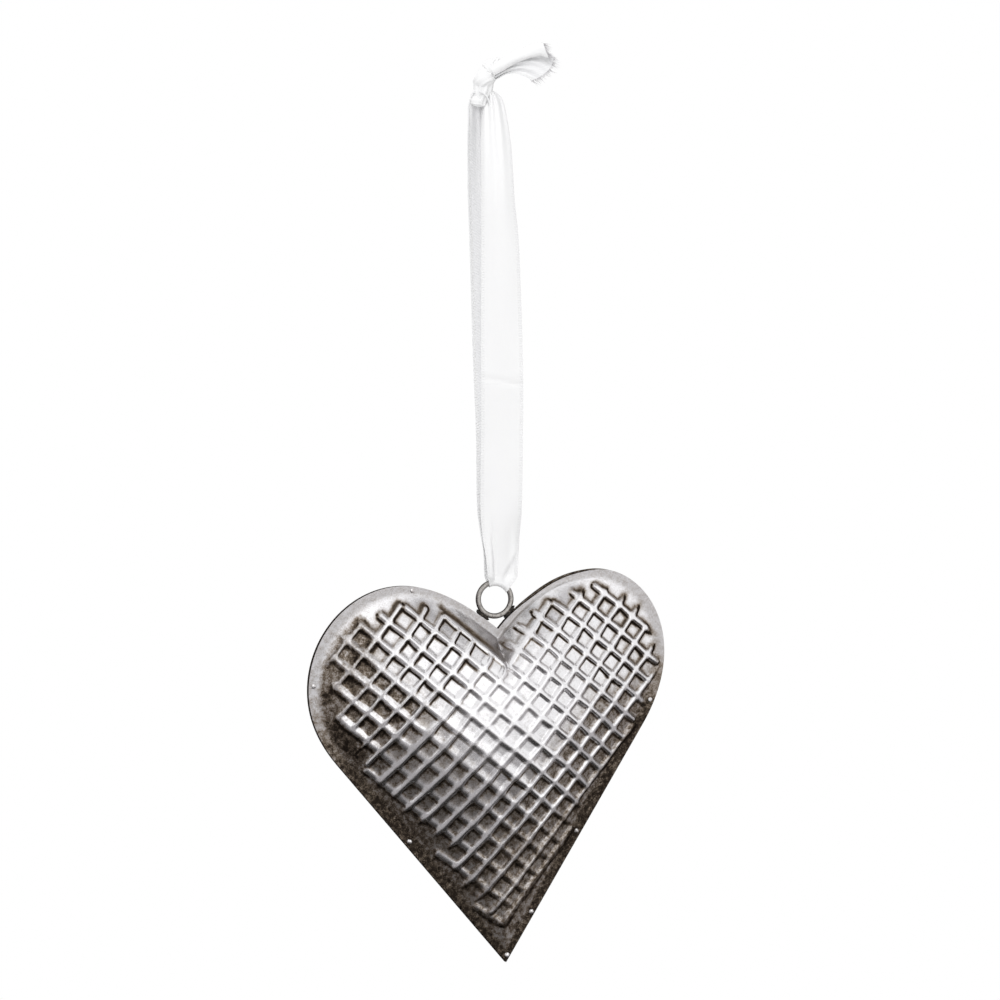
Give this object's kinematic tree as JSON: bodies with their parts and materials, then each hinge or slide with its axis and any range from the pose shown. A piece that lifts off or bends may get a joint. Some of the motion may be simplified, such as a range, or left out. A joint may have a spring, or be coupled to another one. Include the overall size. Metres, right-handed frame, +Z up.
{
  "type": "hanging heart ornament",
  "caption": "Hollow pressed-iron heart with a raised waffle grid on both domed halves and a wire ring in its notch, hung on a knotted loop of white satin ribbon.",
  "frame": {"origin": "inside top of the ribbon loop, just under the knot, where a hook carries the ornament", "axes": "+Z up along the hanging ribbon, -Y towards the front of the heart, +X to the right of the front"},
  "size_m": [0.0883, 0.0316, 0.22],
  "materials": {
    "iron_sheet": "burnished sheet iron, bright on the raised ridges, brown-black patina in the recesses",
    "iron_wire": "drawn wire with a dull bright flank",
    "solder": "dark, uneven",
    "weld": "small bright spots",
    "satin_ribbon": "single-faced satin, glossy outside, dull twill inside"
  },
  "bodies": {
    "knot": {"ribbon_knot": "satin_ribbon", "ribbon_tail_upper": "satin_ribbon", "ribbon_tail_lower": "satin_ribbon"},
    "strands": {"ribbon_front_strand": "satin_ribbon", "ribbon_back_strand": "satin_ribbon"},
    "bight": {"ribbon_ring_fold": "satin_ribbon"},
    "heart": {"front_shell": "iron_sheet", "back_shell": "iron_sheet", "hanging_ring": "iron_wire", "ring_solder_left": "solder", "ring_solder_right": "solder", "rim_weld_1": "weld", "rim_weld_2": "weld", "rim_weld_3": "weld", "rim_weld_4": "weld", "rim_weld_5": "weld", "rim_weld_6": "weld", "rim_weld_7": "weld"}
  },
  "joints": [
    {"name": "ribbon_twist", "type": "hinge", "parent": "knot", "child": "strands", "pos_m": [0, 0, 0], "axis": [0, 0, 1], "range_deg": [-180, 180], "stiffness_Nm_per_rad": 0.0002},
    {"name": "heart_swing", "type": "hinge", "parent": "strands", "child": "bight", "pos_m": [0, 0, -0.1135], "axis": [1, 0, 0], "range_deg": [-60, 60]},
    {"name": "heart_tilt", "type": "hinge", "parent": "bight", "child": "heart", "pos_m": [0.00089, 0, -0.1175], "axis": [0, 1, 0], "range_deg": [-35, 45]}
  ]
}
